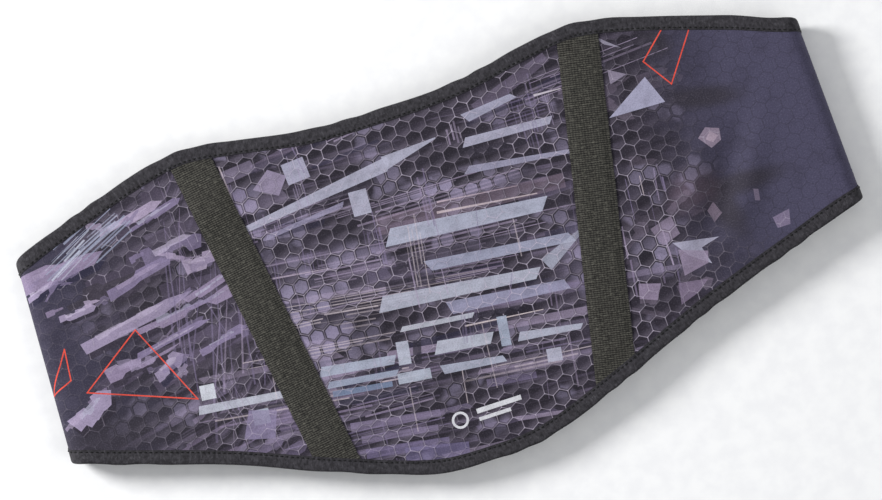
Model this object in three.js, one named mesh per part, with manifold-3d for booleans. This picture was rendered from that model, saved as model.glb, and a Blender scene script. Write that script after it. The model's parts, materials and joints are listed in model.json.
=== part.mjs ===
// A closed kidney belt (waist warmer) lying flat: a wide back panel on top, whose two ends turn
// under at soft folds and meet beneath it in a hook-and-loop closure.
//
// Everything is first laid out on the belt's flat pattern: u runs along the belt, v up it, and w
// out of its printed face, with w = 0 in the middle of the fabric. The two folds are then closed
// by nested groups, so each fold is a strip of fabric between two hinges a quarter turn apart.
// Millimetres, +Z up, origin at the middle of the bottom of the belt's bounding box.

import * as THREE from 'three';
import { mergeVertices } from 'three/addons/utils/BufferGeometryUtils.js';
import Module from 'manifold-3d';

const wasm = await Module();
wasm.setup();

// ---- driving dimensions -------------------------------------------------------------------

const SHELL = 1.0; // printed softshell laminate
const LINING = 1.4; // brushed lining
const BOND_GAP = 0.3; // between shell and lining
const LAYER = SHELL + BOND_GAP + LINING;

const TAPE = 0.5; // thickness of the edge binding
const TAPE_GAP = 0.2; // between the binding and what it wraps
const BINDING_WIDTH = 9;

const FOLD_RADIUS = 7.8; // of the middle of the fabric where the belt turns under
const FOLD_LEAN = THREE.MathUtils.degToRad(2.4); // the fold lines lean towards the top's middle
const LEFT_EDGE_U = -239.7; // outermost print at the left fold, half way up the belt
const RIGHT_EDGE_U = 257.3;
const BELT_MID_V = 28; // half way up the belt's ends
const INNER_WING_RISE = THREE.MathUtils.degToRad(1.6); // lifts the inner wing over the outer one

const WING_CLEARANCE = 1; // from the inner wing's end to the line half way between the folds
const TAB_LENGTH = 52;
const TAB_ROOT_PAST_MIDDLE = 19; // how far the outer wing's panel runs past that line
const END_RADIUS = 16; // corners of the two free ends

const WEBBING_WIDTH = 25;
const WEBBING = 1.0;
const STAY_WIDTH = 16;
const STAY = 0.5;
const STAY_GAP = 0.15; // under and over the stay
const STAY_END_MARGIN = 7; // from the stay's ends to the webbing's
const LEFT_WEBBING = [[-118, 112], [-90, -79]]; // top and bottom of its centre line
const RIGHT_WEBBING = [[126, 116], [86, -82]];

const LOOP_PATCH = { length: 90, height: 70, fromEnd: 13 };
const HOOK_TAPE = { length: 38, height: 66, fromEnd: 10 };
const CLOSURE_TAPE = 0.5;

const SEAM_GAP = 0.3; // between panels that meet
const HINGE_GAP = 0.15; // each side of a fold's hinge line
const HINGE_GAP_BINDING = 0.9; // the binding is thicker, so it stops a little further away

// Half of the belt's outline, mirrored about u = 0: the top edge dips in the middle and peaks over
// the webbing, and the bottom edge sweeps up to the narrow ends.
const HALF_TOP = [
  [0, 111.3], [47, 113], [90, 120.5], [123, 124.5], [156, 118.5], [213, 101], [256, 86], [310, 78], [380, 76], [620, 76],
];
const HALF_BOTTOM = [
  [0, -111.3], [36, -108.5], [90, -90], [150, -66], [210, -46], [259, -31], [320, -24], [380, -22], [620, -22],
];
const EDGE_STEP = 12;

const HALF_BINDING = LAYER / 2 + TAPE_GAP + TAPE;
const HINGE_DEPTH = FOLD_RADIUS * (1 - Math.PI / 4); // the hinge line's depth below the fabric's middle
const STRIP_LENGTH = FOLD_RADIUS * Math.PI / 2; // between a fold's two hinges
const hingeU = (edgeU) => edgeU - Math.sign(edgeU) * (FOLD_RADIUS + LAYER / 2 - FOLD_RADIUS * Math.PI / 4);
const LEFT_HINGE_U = hingeU(LEFT_EDGE_U);
const RIGHT_HINGE_U = hingeU(RIGHT_EDGE_U);
const HALF_SPAN = (RIGHT_HINGE_U - LEFT_HINGE_U) / 2;
const LEFT_END_U = LEFT_HINGE_U - STRIP_LENGTH - HALF_SPAN + WING_CLEARANCE;
const TAB_HINGE_U = RIGHT_HINGE_U + STRIP_LENGTH + HALF_SPAN + TAB_ROOT_PAST_MIDDLE;
const RIGHT_END_U = TAB_HINGE_U + TAB_LENGTH;

const SHELL_W = [LAYER / 2 - SHELL, LAYER / 2];
const LINING_W = [-LAYER / 2, -LAYER / 2 + LINING];
const FAR = 2000; // larger than the belt, for cutting tools

// ---- materials ----------------------------------------------------------------------------

const SHELL_FABRIC = { color: 0x4b475c, roughness: 0.8, metalness: 0 };
const LINING_FABRIC = { color: 0x232228, roughness: 0.95, metalness: 0 };
const BINDING_FABRIC = { color: 0x38363a, roughness: 0.9, metalness: 0 };
const WEBBING_FABRIC = { color: 0x46463f, roughness: 0.85, metalness: 0 };
const STAY_PLASTIC = { color: 0x1c1c1e, roughness: 0.5, metalness: 0 };
const CLOSURE_FABRIC = { color: 0x1b1b1d, roughness: 0.95, metalness: 0 };

// ---- solids -------------------------------------------------------------------------------

function toSolid(geometry) {
  const bare = geometry.clone();
  bare.deleteAttribute('normal');
  bare.deleteAttribute('uv');
  const merged = mergeVertices(bare);
  const vertProperties = Float32Array.from(merged.attributes.position.array);
  const triVerts = Uint32Array.from(merged.index.array);
  return new wasm.Manifold(new wasm.Mesh({ numProp: 3, vertProperties, triVerts }));
}

function toGeometry(solid) {
  const mesh = solid.getMesh();
  const geometry = new THREE.BufferGeometry();
  geometry.setAttribute('position', new THREE.BufferAttribute(Float32Array.from(mesh.vertProperties), 3));
  geometry.setIndex(new THREE.BufferAttribute(Uint32Array.from(mesh.triVerts), 1));
  geometry.computeVertexNormals();
  return geometry;
}

// A flat piece cut to a plan outline and as thick as the range w.
function prism(points, [low, high]) {
  const shape = new THREE.Shape(points);
  const geometry = new THREE.ExtrudeGeometry(shape, { depth: high - low, bevelEnabled: false });
  return toSolid(geometry.translate(0, 0, low));
}

// ---- the flat pattern -----------------------------------------------------------------------

// Height of an edge at u: a smooth curve through its half outline's points.
function edgeHeight(half, u) {
  const x = Math.abs(u);
  const at = (i) => (i < 0 ? [-half[1][0], half[1][1]] : half[Math.min(i, half.length - 1)]);
  const slope = (i) => (at(i + 1)[1] - at(i - 1)[1]) / (at(i + 1)[0] - at(i - 1)[0]);
  const i = Math.max(0, half.findIndex((point) => point[0] > x) - 1);
  const span = at(i + 1)[0] - at(i)[0];
  const t = (x - at(i)[0]) / span;
  const startWeight = 2 * t ** 3 - 3 * t ** 2 + 1;
  const startSlopeWeight = (t ** 3 - 2 * t ** 2 + t) * span;
  const endSlopeWeight = (t ** 3 - t ** 2) * span;
  return startWeight * at(i)[1] + (1 - startWeight) * at(i + 1)[1]
    + startSlopeWeight * slope(i) + endSlopeWeight * slope(i + 1);
}

// One edge of the belt from end to end, moved inwards by inset. direction is 1 for the top edge.
function edgePoints(half, direction, inset) {
  const points = [];
  const first = Math.ceil((LEFT_END_U + END_RADIUS) / EDGE_STEP) * EDGE_STEP;
  for (let u = first; u < RIGHT_END_U - END_RADIUS; u += EDGE_STEP) {
    const rise = edgeHeight(half, u + 1) - edgeHeight(half, u - 1);
    const length = Math.hypot(2, rise);
    points.push(new THREE.Vector2(
      u + direction * inset * rise / length,
      edgeHeight(half, u) - direction * inset * 2 / length,
    ));
  }
  return points;
}

// A quarter circle at a corner of one of the belt's free ends.
function cornerPoints(centre, radius, fromAngle) {
  const steps = 4;
  return Array.from({ length: steps + 1 }, (_, i) => {
    const angle = fromAngle - (i / steps) * Math.PI / 2;
    return new THREE.Vector2(centre.x + radius * Math.cos(angle), centre.y + radius * Math.sin(angle));
  });
}

// The whole belt's outline, moved inwards by inset, running clockwise from its top left corner.
function beltOutline(inset) {
  const radius = Math.max(END_RADIUS - inset, 1);
  const endCorner = (u, half, direction) => new THREE.Vector2(
    u - Math.sign(u) * (inset + radius),
    edgeHeight(half, u) - direction * (inset + radius),
  );
  return [
    ...cornerPoints(endCorner(LEFT_END_U, HALF_TOP, 1), radius, Math.PI),
    ...edgePoints(HALF_TOP, 1, inset),
    ...cornerPoints(endCorner(RIGHT_END_U, HALF_TOP, 1), radius, Math.PI / 2),
    ...cornerPoints(endCorner(RIGHT_END_U, HALF_BOTTOM, -1), radius, 0),
    ...edgePoints(HALF_BOTTOM, -1, inset).reverse(),
    ...cornerPoints(endCorner(LEFT_END_U, HALF_BOTTOM, -1), radius, -Math.PI / 2),
  ];
}

const layerOutline = beltOutline(TAPE + TAPE_GAP);
const shell = prism(layerOutline, SHELL_W);
const lining = prism(layerOutline, LINING_W);
const binding = prism(beltOutline(0), [-HALF_BINDING, HALF_BINDING])
  .subtract(prism(beltOutline(TAPE), [-LAYER / 2 - TAPE_GAP, LAYER / 2 + TAPE_GAP]))
  .subtract(prism(beltOutline(BINDING_WIDTH), [-FAR, FAR]));
const openFace = prism(beltOutline(BINDING_WIDTH + SEAM_GAP), [-FAR, FAR]);

// Everything on one side of a cut across the belt at u, to the right of it where direction is 1.
// All cuts lean as the folds do.
const leanOf = (u) => Math.sign(u) * FOLD_LEAN;

function sideOf(u, direction) {
  const block = new THREE.BoxGeometry(FAR, 2 * FAR, 2 * FAR);
  block.translate(direction * FAR / 2, 0, 0);
  block.rotateZ(leanOf(u));
  block.translate(u, BELT_MID_V, 0);
  return toSolid(block);
}

function between(solid, leftU, rightU, gap) {
  return solid.intersect(sideOf(leftU + gap, 1)).intersect(sideOf(rightU - gap, -1));
}

const upperHalf = toSolid(new THREE.BoxGeometry(FAR, FAR, FAR).translate(0, BELT_MID_V + FAR / 2, 0));
const lowerHalf = toSolid(new THREE.BoxGeometry(FAR, FAR, FAR).translate(0, BELT_MID_V - FAR / 2, 0));

// ---- pieces ---------------------------------------------------------------------------------

function piece(name, solid, material) {
  const mesh = new THREE.Mesh(toGeometry(solid), new THREE.MeshStandardMaterial(material));
  mesh.name = name;
  return mesh;
}

// Shell, lining and the two bindings of the stretch of belt from leftU to rightU.
function fabricStretch(suffix, leftU, rightU) {
  const edging = between(binding, leftU, rightU, HINGE_GAP_BINDING);
  return [
    piece(`shell_${suffix}`, between(shell, leftU, rightU, HINGE_GAP), SHELL_FABRIC),
    piece(`lining_${suffix}`, between(lining, leftU, rightU, HINGE_GAP), LINING_FABRIC),
    piece(`binding_top_${suffix}`, edging.intersect(upperHalf), BINDING_FABRIC),
    piece(`binding_bottom_${suffix}`, edging.intersect(lowerHalf), BINDING_FABRIC),
  ];
}

// As fabricStretch, where the belt ends: the binding runs round the end in one piece.
function fabricEnd(suffix, leftU, rightU) {
  return [
    piece(`shell_${suffix}`, between(shell, leftU, rightU, HINGE_GAP), SHELL_FABRIC),
    piece(`lining_${suffix}`, between(lining, leftU, rightU, HINGE_GAP), LINING_FABRIC),
    piece(`binding_${suffix}`, between(binding, leftU, rightU, HINGE_GAP_BINDING), BINDING_FABRIC),
  ];
}

// A straight strip along a webbing's centre line, of the given width and thickness, whose ends
// follow the belt's edges.
function stripAlong([top, bottom], width, range, outline) {
  const strip = new THREE.BoxGeometry(width, FAR, range[1] - range[0]);
  strip.rotateZ(Math.atan2(bottom[0] - top[0], top[1] - bottom[1]));
  strip.translate((top[0] + bottom[0]) / 2, (top[1] + bottom[1]) / 2, (range[0] + range[1]) / 2);
  return toSolid(strip).intersect(outline);
}

// The part of the shell on one side of a webbing's centre line.
function besideWebbing(solid, [top, bottom], direction) {
  const block = new THREE.BoxGeometry(FAR, 2 * FAR, 2 * FAR);
  block.translate(direction * (FAR + SEAM_GAP) / 2, 0, 0);
  block.rotateZ(Math.atan2(bottom[0] - top[0], top[1] - bottom[1]));
  block.translate(bottom[0], bottom[1], 0);
  return solid.intersect(toSolid(block));
}

function backPanel() {
  const backShell = between(shell, LEFT_HINGE_U, RIGHT_HINGE_U, HINGE_GAP);
  const centre = besideWebbing(besideWebbing(backShell, LEFT_WEBBING, 1), RIGHT_WEBBING, -1);
  const edging = between(binding, LEFT_HINGE_U, RIGHT_HINGE_U, HINGE_GAP_BINDING);
  const stayBase = LAYER / 2 + STAY_GAP;
  const webbingBase = stayBase + STAY + STAY_GAP;
  const stayRoom = prism(beltOutline(BINDING_WIDTH + STAY_END_MARGIN), [-FAR, FAR]);
  const pieces = [
    piece('shell_centre', centre, SHELL_FABRIC),
    piece('shell_left', besideWebbing(backShell, LEFT_WEBBING, -1), SHELL_FABRIC),
    piece('shell_right', besideWebbing(backShell, RIGHT_WEBBING, 1), SHELL_FABRIC),
    piece('lining_back', between(lining, LEFT_HINGE_U, RIGHT_HINGE_U, HINGE_GAP), LINING_FABRIC),
    piece('binding_top_back', edging.intersect(upperHalf), BINDING_FABRIC),
    piece('binding_bottom_back', edging.intersect(lowerHalf), BINDING_FABRIC),
  ];
  for (const [side, line] of [['left', LEFT_WEBBING], ['right', RIGHT_WEBBING]]) {
    const webbing = stripAlong(line, WEBBING_WIDTH, [webbingBase, webbingBase + WEBBING], openFace);
    const stay = stripAlong(line, STAY_WIDTH, [stayBase, stayBase + STAY], stayRoom);
    pieces.push(piece(`webbing_${side}`, webbing, WEBBING_FABRIC));
    pieces.push(piece(`stay_${side}`, stay, STAY_PLASTIC));
  }
  return pieces;
}

// A rectangle of closure tape whose outer end is fromEnd in from the belt's free end.
function closureTape(name, { length, height, fromEnd }, endU, range) {
  const tape = new THREE.BoxGeometry(length, height, range[1] - range[0]);
  const middleV = (edgeHeight(HALF_TOP, endU) + edgeHeight(HALF_BOTTOM, endU)) / 2;
  tape.translate(endU - Math.sign(endU) * (fromEnd + length / 2), middleV, (range[0] + range[1]) / 2);
  return piece(name, toSolid(tape), CLOSURE_FABRIC);
}

// ---- assembly -------------------------------------------------------------------------------

// A group that swings what it holds about the fold line through (u, BELT_MID_V), closing the belt
// by angle.
function foldGroup(u, angle, children) {
  const lean = leanOf(u);
  const axis = new THREE.Vector3(-Math.sin(lean), Math.cos(lean), 0);
  const pivot = new THREE.Vector3(u, BELT_MID_V, -HINGE_DEPTH);
  const swing = new THREE.Matrix4().makeTranslation(pivot)
    .multiply(new THREE.Matrix4().makeRotationAxis(axis, Math.sign(u) * angle))
    .multiply(new THREE.Matrix4().makeTranslation(pivot.clone().negate()));
  const group = new THREE.Group();
  group.applyMatrix4(swing);
  group.add(...children);
  return group;
}

const RIGHT_WING_U = RIGHT_HINGE_U + STRIP_LENGTH / Math.cos(FOLD_LEAN);
const LEFT_WING_U = LEFT_HINGE_U - STRIP_LENGTH / Math.cos(FOLD_LEAN);

const closureTab = [
  ...fabricEnd('tab', TAB_HINGE_U, FAR / 2),
  closureTape('hook_tape', HOOK_TAPE, RIGHT_END_U, [-LAYER / 2 - TAPE_GAP - CLOSURE_TAPE, -LAYER / 2 - TAPE_GAP]),
];
const rightWing = fabricStretch('right_wing', RIGHT_WING_U, TAB_HINGE_U);
const leftWing = [
  ...fabricEnd('left_wing', -FAR / 2, LEFT_WING_U),
  closureTape('loop_patch', LOOP_PATCH, LEFT_END_U, [LAYER / 2 + TAPE_GAP, LAYER / 2 + TAPE_GAP + CLOSURE_TAPE]),
];

const belt = new THREE.Group();
belt.add(...backPanel());
belt.add(foldGroup(RIGHT_HINGE_U, Math.PI / 2, [
  ...fabricStretch('right_fold', RIGHT_HINGE_U, RIGHT_WING_U),
  foldGroup(RIGHT_WING_U, Math.PI / 2, [...rightWing, ...closureTab]),
]));
belt.add(foldGroup(LEFT_HINGE_U, Math.PI / 2, [
  ...fabricStretch('left_fold', LEFT_WING_U, LEFT_HINGE_U),
  foldGroup(LEFT_WING_U, Math.PI / 2 + INNER_WING_RISE, leftWing),
]));

// Stand the belt on z = 0 with the middle of its bounding box over the origin.
const bounds = new THREE.Box3().setFromObject(belt, true);
const middle = bounds.getCenter(new THREE.Vector3());
belt.position.set(-middle.x, -middle.y, -bounds.min.z);

export default belt;
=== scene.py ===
"""A kidney belt, closed and laid flat with its printed back panel up.

The belt is laid out flat as a pattern in millimetres: u runs along the belt, v across it, and w out
of its printed face, from the middle of the fabric. place() folds the pattern into the closed belt.
The print belongs to the pattern, so it stays on the fabric in every pose.
"""

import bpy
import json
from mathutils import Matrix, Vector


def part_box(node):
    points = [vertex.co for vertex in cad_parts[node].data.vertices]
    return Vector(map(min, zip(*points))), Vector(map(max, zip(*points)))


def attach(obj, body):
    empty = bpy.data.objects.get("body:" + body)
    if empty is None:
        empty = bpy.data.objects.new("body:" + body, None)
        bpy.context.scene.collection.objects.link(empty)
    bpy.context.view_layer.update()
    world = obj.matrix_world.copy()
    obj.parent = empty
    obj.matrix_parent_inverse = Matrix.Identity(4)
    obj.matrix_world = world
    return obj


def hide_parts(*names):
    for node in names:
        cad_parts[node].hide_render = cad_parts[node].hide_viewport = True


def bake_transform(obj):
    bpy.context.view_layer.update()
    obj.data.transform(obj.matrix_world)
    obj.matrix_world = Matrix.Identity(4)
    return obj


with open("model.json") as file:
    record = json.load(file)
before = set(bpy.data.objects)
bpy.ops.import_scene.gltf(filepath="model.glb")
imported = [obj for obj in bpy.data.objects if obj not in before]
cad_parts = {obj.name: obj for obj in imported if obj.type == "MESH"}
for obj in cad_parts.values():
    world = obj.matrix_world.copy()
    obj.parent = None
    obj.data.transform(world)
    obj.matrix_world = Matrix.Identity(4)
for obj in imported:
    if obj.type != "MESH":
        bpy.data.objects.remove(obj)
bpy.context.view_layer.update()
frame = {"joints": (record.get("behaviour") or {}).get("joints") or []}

import json
import math
import random

import bpy
import numpy as np
from mathutils import Vector
from mathutils.geometry import delaunay_2d_cdt

MM = 0.001
JOINTS = {joint["name"]: joint for joint in frame["joints"]}

# ---- the belt, in millimetres -------------------------------------------------------------------

HALF_TOP = [
    (0, 111.3), (47, 113), (90, 120.5), (123, 124.5), (156, 118.5), (213, 101), (256, 86),
    (310, 78), (380, 76), (620, 76),
]
HALF_BOTTOM = [
    (0, -111.3), (36, -108.5), (90, -90), (150, -66), (210, -46), (259, -31), (320, -24),
    (380, -22), (620, -22),
]
TOP, BOTTOM = 1, -1
HALF_EDGES = {TOP: HALF_TOP, BOTTOM: HALF_BOTTOM}
BEYOND_BELT = 160.0  # further from the middle than the belt is tall

SHELL_W = (0.35, 1.35)
LINING_W = (-1.35, 0.05)
BINDING_WIDTH = 9.0
FABRIC_INSET = 1.1

FOLD_RADIUS = 7.8
HINGE_DEPTH = FOLD_RADIUS * (1 - math.pi / 4)
STRIP_LENGTH = FOLD_RADIUS * math.pi / 2
ARC_START = -math.pi / 4 * FOLD_RADIUS  # measured outwards from the fold's first hinge
ARC_MIDDLE = math.pi / 4 * FOLD_RADIUS
ARC_END = 3 * math.pi / 4 * FOLD_RADIUS
FOLD_LEAN = math.radians(2.4)
BELT_MID_V = 28.0
INNER_WING_RISE = math.radians(1.6)

LEFT_HINGE_U, RIGHT_HINGE_U = -236.676, 254.276
TAB_HINGE_U = 531.0
TAB_BEND = (-4.0, 12.0)  # where the tab would bend as it peels, across from its hinge; nothing bends it
LEFT_END_U, RIGHT_END_U = -493.40, 583.0
END_RADIUS = 16.0
FOLD_REACH, TAB_REACH = 22.0, 20.0  # how far from a bend the outlines stay fine
TAB_FINE = (-19.0, 9.0)  # where the sheets stay fine, across from the tab's hinge
SHEET_STEPS = (4.0, 1.2)  # coarse and fine steps of a mesh
TAPE_STEPS = (2.0, 1.0)

WEBBING_WIDTH = 25.0
STAY_WIDTH = 16.0
WEBBINGS = {"left": ((-118, 112), (-90, -79)), "right": ((126, 116), (86, -82))}

LOOP_PATCH = {"end_u": LEFT_END_U, "length": 90, "height": 70, "from_end": 13}
HOOK_TAPE = {"end_u": RIGHT_END_U, "length": 38, "height": 66, "from_end": 10}


def edge_height(direction, u):
    """Height of the belt's top or bottom edge at u, through its half outline's points."""
    half = HALF_EDGES[direction]
    x = abs(u)

    def at(i):
        if i < 0:
            return -half[1][0], half[1][1]
        return half[min(i, len(half) - 1)]

    def slope(i):
        return (at(i + 1)[1] - at(i - 1)[1]) / (at(i + 1)[0] - at(i - 1)[0])

    i = max(0, next(k for k, point in enumerate(half) if point[0] > x) - 1)
    span = at(i + 1)[0] - at(i)[0]
    t = (x - at(i)[0]) / span
    weight = 2 * t**3 - 3 * t**2 + 1
    return (
        weight * at(i)[1] + (1 - weight) * at(i + 1)[1]
        + (t**3 - 2 * t**2 + t) * span * slope(i) + (t**3 - t**2) * span * slope(i + 1)
    )


def edge_inward(direction, u):
    """The way inwards, square to the belt's edge at u."""
    rise = edge_height(direction, u + 1) - edge_height(direction, u - 1)
    return direction * np.array([rise, -2.0]) / math.hypot(rise, 2)


def edge_point(direction, u, inset=0.0):
    return np.array([u, edge_height(direction, u)]) + inset * edge_inward(direction, u)


def smoothstep(x):
    t = np.clip(x, 0, 1)
    return t * t * (3 - 2 * t)


# ---- folding the pattern ------------------------------------------------------------------------

class Side:
    """One half of the belt and its fold. q runs outwards from the fold's first hinge line and r
    runs along that line."""

    def __init__(self, name, sign, hinge_u, rise):
        lean = sign * FOLD_LEAN
        self.name = name
        self.rise = rise
        self.hinge = np.array([hinge_u, BELT_MID_V])
        self.along = np.array([-math.sin(lean), math.cos(lean)])
        self.out = sign * np.array([math.cos(lean), math.sin(lean)])
        self.hinge_in_row = np.array(JOINTS[f"{name}_fold_upper"]["pos_m"]) / MM

    def q(self, uv):
        return (uv - self.hinge) @ self.out

    def line(self, q, r):
        """Pattern points at distances r along the line at q."""
        return self.hinge + q * self.out + np.outer(r, self.along)

    def fold(self, uv, w):
        """Folded places of pattern points of this half, in millimetres."""
        q = self.q(uv)
        r = (uv - self.hinge) @ self.along
        turn = np.clip((q - ARC_START) / FOLD_RADIUS, 0, math.pi)
        before = np.minimum(q - ARC_START, 0)
        past = np.maximum(q - ARC_END, 0)
        radius = FOLD_RADIUS + w
        across = ARC_START + before + radius * np.sin(turn) - past
        height = HINGE_DEPTH - FOLD_RADIUS + radius * np.cos(turn)
        across, height = self.raise_wing(across, height, q)
        spot = self.hinge_in_row[:2] + across[:, None] * self.out + r[:, None] * self.along
        return np.column_stack([spot, self.hinge_in_row[2] + height])

    def raise_wing(self, across, height, q):
        """Turns the wing about the fold's second hinge, so that it rises to lie on the other one."""
        start = (HINGE_DEPTH, HINGE_DEPTH - FOLD_RADIUS)
        end = (ARC_START, HINGE_DEPTH - 2 * FOLD_RADIUS)
        step = (end[0] - start[0], end[1] - start[1])
        length = step[0]**2 + step[1]**2
        share = ((across - start[0]) * step[0] + (height - start[1]) * step[1]) / length
        angle = np.where(q > ARC_MIDDLE, smoothstep(share) * self.rise, 0)
        lever = height + STRIP_LENGTH
        return (
            across * np.cos(angle) + lever * np.sin(angle),
            lever * np.cos(angle) - across * np.sin(angle) - STRIP_LENGTH,
        )

    def hinge_point(self, across, height):
        """A point of the row frame in metres, given across and up from the fold's first hinge."""
        spot = self.hinge_in_row[:2] + across * self.out
        return (spot[0] * MM, spot[1] * MM, (self.hinge_in_row[2] + height) * MM)


LEFT = Side("left", -1, LEFT_HINGE_U, INNER_WING_RISE)
RIGHT = Side("right", 1, RIGHT_HINGE_U, 0.0)
TAB_HINGE_Q = float(RIGHT.q(np.array([TAB_HINGE_U, BELT_MID_V])))

# Soft wrinkles of the back panel: centre, direction in degrees, half length, half width, height.
WRINKLES = [
    ((164, 6), 60, 42, 8, 2.6),
    ((181, 0), 58, 40, 8, -2.8),
    ((199, 4), 62, 34, 8, 2.4),
    ((196, 66), 78, 30, 11, -1.4),
    ((-150, 66), 30, 70, 13, 1.5),
    ((-178, 52), 34, 40, 9, -1.3),
    ((-185, -8), 38, 60, 14, -1.2),
    ((-20, 30), 12, 110, 26, 1.6),
    ((40, -48), -14, 90, 20, -1.3),
    ((-60, -62), 20, 60, 16, 1.3),
    ((150, 88), -28, 40, 14, -1.0),
]
SAG, SAG_CENTRE_V, SAG_REACH = 2.2, 10.0, (150.0, 95.0)
# How deep each long edge droops, where the droop starts and over what length it grows.
DROOPS = {TOP: (1.6, 78.0, 45.0), BOTTOM: (3.4, 22.0, 85.0)}
RIPPLE = 0.28
FLAT_BESIDE_FOLD, LIFT_REACH = 7.0, 34.0


def lie(uv):
    """How far the back panel lies above the plane of its folds."""
    u, v = uv[:, 0], uv[:, 1]
    height = -SAG * np.exp(-((u / SAG_REACH[0])**2 + ((v - SAG_CENTRE_V) / SAG_REACH[1])**2))
    for direction, (depth, start, reach) in DROOPS.items():
        height -= depth * smoothstep((direction * v - start) / reach)
    for (cu, cv), degrees, half_length, half_width, rise in WRINKLES:
        angle = math.radians(degrees)
        along = ((u - cu) * math.cos(angle) + (v - cv) * math.sin(angle)) / half_length
        across = (-(u - cu) * math.sin(angle) + (v - cv) * math.cos(angle)) / half_width
        height += rise * np.exp(-along**2 - across**2)
    height += RIPPLE * np.sin(u / 17 + 1.3) * np.sin(v / 21 + 0.4)
    nearest = np.maximum(LEFT.q(uv), RIGHT.q(uv))
    return height * smoothstep((-nearest - FLAT_BESIDE_FOLD) / LIFT_REACH)


def place(uv, w):
    """Places of pattern points on the closed belt, in metres."""
    spots = np.where(uv[:, :1] < 0, LEFT.fold(uv, w), RIGHT.fold(uv, w))
    spots[:, 2] += lie(uv)
    return spots * MM


# ---- cutting the pattern ------------------------------------------------------------------------

class Cut:
    """A straight cut across the belt, at one end of a piece."""

    def __init__(self, point, along):
        self.point = np.array(point, float)
        self.along = np.array(along, float) / np.hypot(*along)

    def side_of(self, points):
        """Distance of a point from the cut, or of each of several."""
        offset = points - self.point
        return offset[..., 0] * self.along[1] - offset[..., 1] * self.along[0]

    def crossing(self, direction, inset):
        """u at which this cut meets the belt's edge, moved inwards by inset."""
        low, high = self.point[0] - BEYOND_BELT / 2, self.point[0] + BEYOND_BELT / 2
        for _ in range(50):
            middle = (low + high) / 2
            if self.side_of(edge_point(direction, middle, inset)) < 0:
                low = middle
            else:
                high = middle
        return (low + high) / 2


def fold_cut(side, q):
    return Cut(side.hinge + q * side.out, side.along)


def webbing_cut(name):
    top, bottom = WEBBINGS[name]
    return Cut(bottom, (top[0] - bottom[0], top[1] - bottom[1]))


def bends_at(u):
    to_fold = min(abs(u - LEFT_HINGE_U + ARC_MIDDLE), abs(u - RIGHT_HINGE_U - ARC_MIDDLE))
    return to_fold < FOLD_REACH or abs(u - TAB_HINGE_U) < TAB_REACH


def samples(start, stop, coarse, fine):
    """Values from start to stop, closer together where the fabric bends."""
    values = [start]
    sign = 1 if stop > start else -1
    while (stop - values[-1]) * sign > 0.6 * fine:
        step = fine if bends_at(values[-1] + sign * fine) else coarse
        values.append(values[-1] + sign * step)
    values[-1] = stop
    return values


def edge_run(direction, start, stop, inset, steps):
    """Points along one edge of the belt, between two cuts or free ends."""
    ends = []
    for limit in (start, stop):
        if isinstance(limit, Cut):
            ends.append(limit.crossing(direction, inset))
        else:
            ends.append(limit - math.copysign(END_RADIUS, limit))
    return [edge_point(direction, u, inset) for u in samples(*ends, *steps)]


def end_path(end_u, direction, coarse):
    """Points round a free end, from the end of one edge to the other's, with the way inwards."""
    sign = math.copysign(1, end_u)
    centres = {
        half: np.array([end_u - sign * END_RADIUS, edge_height(half, end_u) - half * END_RADIUS])
        for half in (TOP, BOTTOM)
    }
    path = []
    for half in (direction, -direction):
        for angle in np.radians(np.linspace(90, 0, 9))[::half * direction]:
            out = np.array([sign * math.cos(angle), half * math.sin(angle)])
            path.append((centres[half] + END_RADIUS * out, -out))
        if half == direction:
            first, last = centres[half][1], centres[-half][1]
            for v in np.linspace(first, last, int(abs(last - first) / coarse) + 1)[1:-1]:
                path.append((np.array([end_u, v]), np.array([-sign, 0.0])))
    return path


def closing_run(limit, first, last, direction):
    """The outline's points between its two edges: along a cut, or round a free end."""
    coarse = SHEET_STEPS[0]
    if isinstance(limit, Cut):
        count = max(2, round(float(np.hypot(*(last - first))) / coarse))
        return [first + (last - first) * t for t in np.linspace(0, 1, count + 1)[1:-1]]
    return [base + FABRIC_INSET * way for base, way in end_path(limit, direction, coarse)][1:-1]


def outline(start, stop):
    """The outline of the fabric between two cuts. Either may be a free end's u instead."""
    top = edge_run(TOP, start, stop, FABRIC_INSET, SHEET_STEPS)
    bottom = edge_run(BOTTOM, stop, start, FABRIC_INSET, SHEET_STEPS)
    right = closing_run(stop, top[-1], bottom[0], TOP)
    left = closing_run(start, bottom[-1], top[0], BOTTOM)
    return np.array(top + right + bottom + left)


def inside(polygon, points):
    """Which points lie inside a polygon."""
    found = np.zeros(len(points), bool)
    x, y = points.T
    for (x0, y0), (x1, y1) in zip(polygon, np.roll(polygon, -1, axis=0)):
        if y0 != y1:
            crosses = (y0 > y) != (y1 > y)
            found ^= crosses & (x < (x1 - x0) * (y - y0) / (y1 - y0) + x0)
    return found


def clear_of(polygon, points, gap):
    """Which points keep a gap from a polygon's own points."""
    far = np.ones(len(points), bool)
    for corner in polygon:
        far &= ((points - corner)**2).sum(axis=1) > gap**2
    return far


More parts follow.
